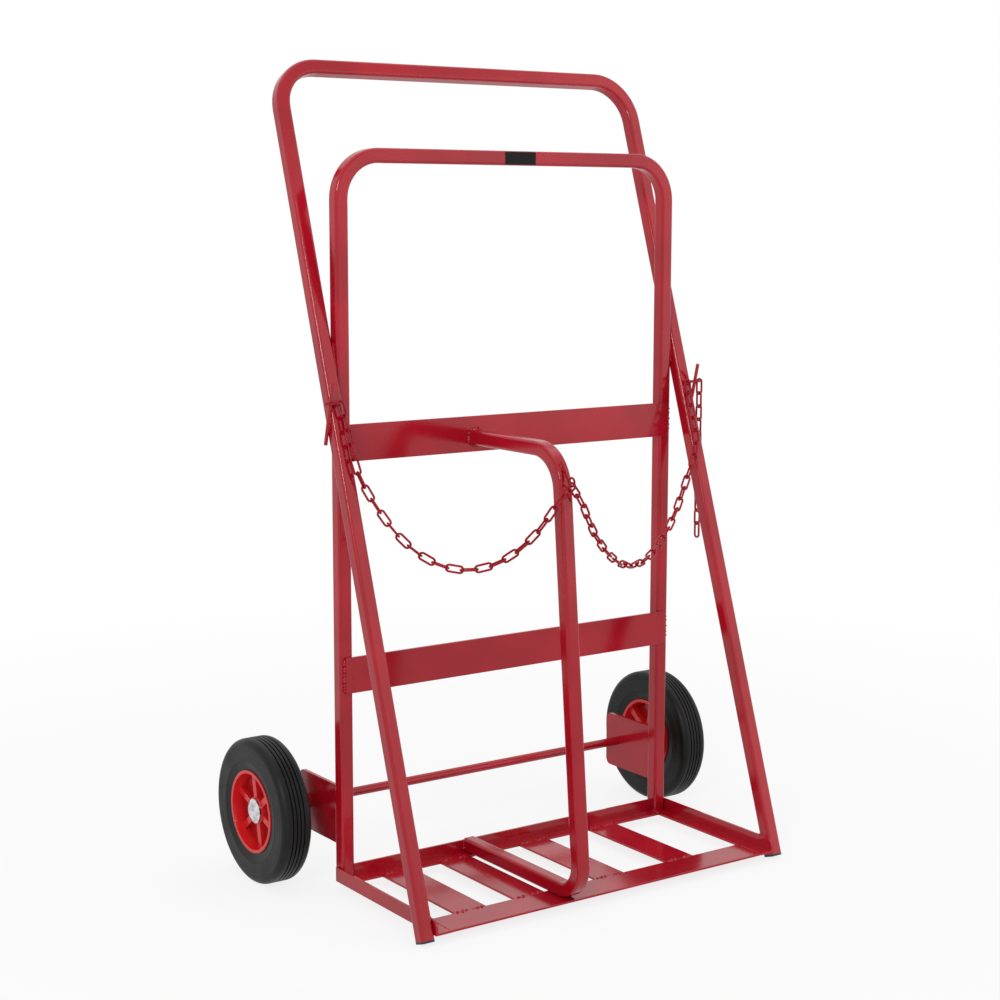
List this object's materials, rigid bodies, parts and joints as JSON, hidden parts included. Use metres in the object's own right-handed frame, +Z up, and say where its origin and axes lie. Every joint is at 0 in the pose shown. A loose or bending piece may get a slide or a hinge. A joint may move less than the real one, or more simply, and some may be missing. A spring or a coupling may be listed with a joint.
{
  "type": "gas cylinder trolley",
  "caption": "Welded square-tube trolley that carries two gas cylinders upright on a slatted tray, with a bay divider, retaining chain, rear wheels and a leaning handle hoop.",
  "frame": {"origin": "on the floor, in the middle of the trolley's outer box", "axes": "+X to the trolley's right as seen from its front, +Y to the rear where the wheels are, +Z up"},
  "size_m": [0.749, 0.4716, 1.1336],
  "materials": {
    "red_paint": "gloss powder coat",
    "black_plastic": "moulded",
    "tyre": "solid rubber",
    "red_plastic": "moulded",
    "bush_plastic": "moulded",
    "zinc_steel": "bright zinc"
  },
  "bodies": {
    "frame": {"axle": "red_paint", "base_slat_1": "red_paint", "base_slat_2": "red_paint", "base_slat_3": "red_paint", "base_slat_4": "red_paint", "bay_divider": "red_paint", "crossing_welds": "red_paint", "divider_chain_eye": "red_paint", "front_base_bar": "red_paint", "handle_hoop": "red_paint", "left_axle_bracket": "red_paint", "left_axle_cap": "zinc_steel", "left_base_angle": "red_paint", "left_chain_hook": "red_paint", "left_divider_links": "red_paint", "left_hooked_links": "red_paint", "left_leg_plug": "black_plastic", "left_wheel_spacer": "red_paint", "left_wheel_washers": "zinc_steel", "lower_strap": "red_paint", "rear_base_angle": "red_paint", "right_axle_bracket": "red_paint", "right_axle_cap": "zinc_steel", "right_base_angle": "red_paint", "right_chain_hook": "red_paint", "right_divider_links": "red_paint", "right_hooked_links": "red_paint", "right_leg_plug": "black_plastic", "right_wheel_spacer": "red_paint", "right_wheel_washers": "zinc_steel", "upper_strap": "red_paint", "upright_hoop": "red_paint"},
    "left_wheel": {"left_tyre": "tyre", "left_wheel_centre": "red_plastic", "left_wheel_bushes": "bush_plastic"},
    "right_wheel": {"right_tyre": "tyre", "right_wheel_centre": "red_plastic", "right_wheel_bushes": "bush_plastic"},
    "left_chain_run": {"left_chain": "red_paint"},
    "right_chain_run": {"right_chain": "red_paint"},
    "loose_chain_end": {"chain_tail": "red_paint"}
  },
  "joints": [
    {"name": "left_wheel_spin", "type": "hinge", "parent": "frame", "child": "left_wheel", "pos_m": [-0.352, 0.1338, 0.102], "axis": [1, 0, 0], "continuous": true},
    {"name": "right_wheel_spin", "type": "hinge", "parent": "frame", "child": "right_wheel", "pos_m": [0.352, 0.1338, 0.102], "axis": [1, 0, 0], "continuous": true},
    {"name": "left_chain_swing", "type": "hinge", "parent": "frame", "child": "left_chain_run", "pos_m": [-0.2906, -0.02832, 0.58855], "axis": [0.7452, -0.6482, -0.1566], "range_deg": [-10, 10]},
    {"name": "right_chain_swing", "type": "hinge", "parent": "frame", "child": "right_chain_run", "pos_m": [0.29121, -0.02772, 0.59053], "axis": [-0.8875, -0.4458, -0.1169], "range_deg": [-10, 10]},
    {"name": "loose_end_swing", "type": "hinge", "parent": "frame", "child": "loose_chain_end", "pos_m": [0.322, 0.00316, 0.67863], "axis": [1, 0, 0], "range_deg": [-15, 15]}
  ]
}
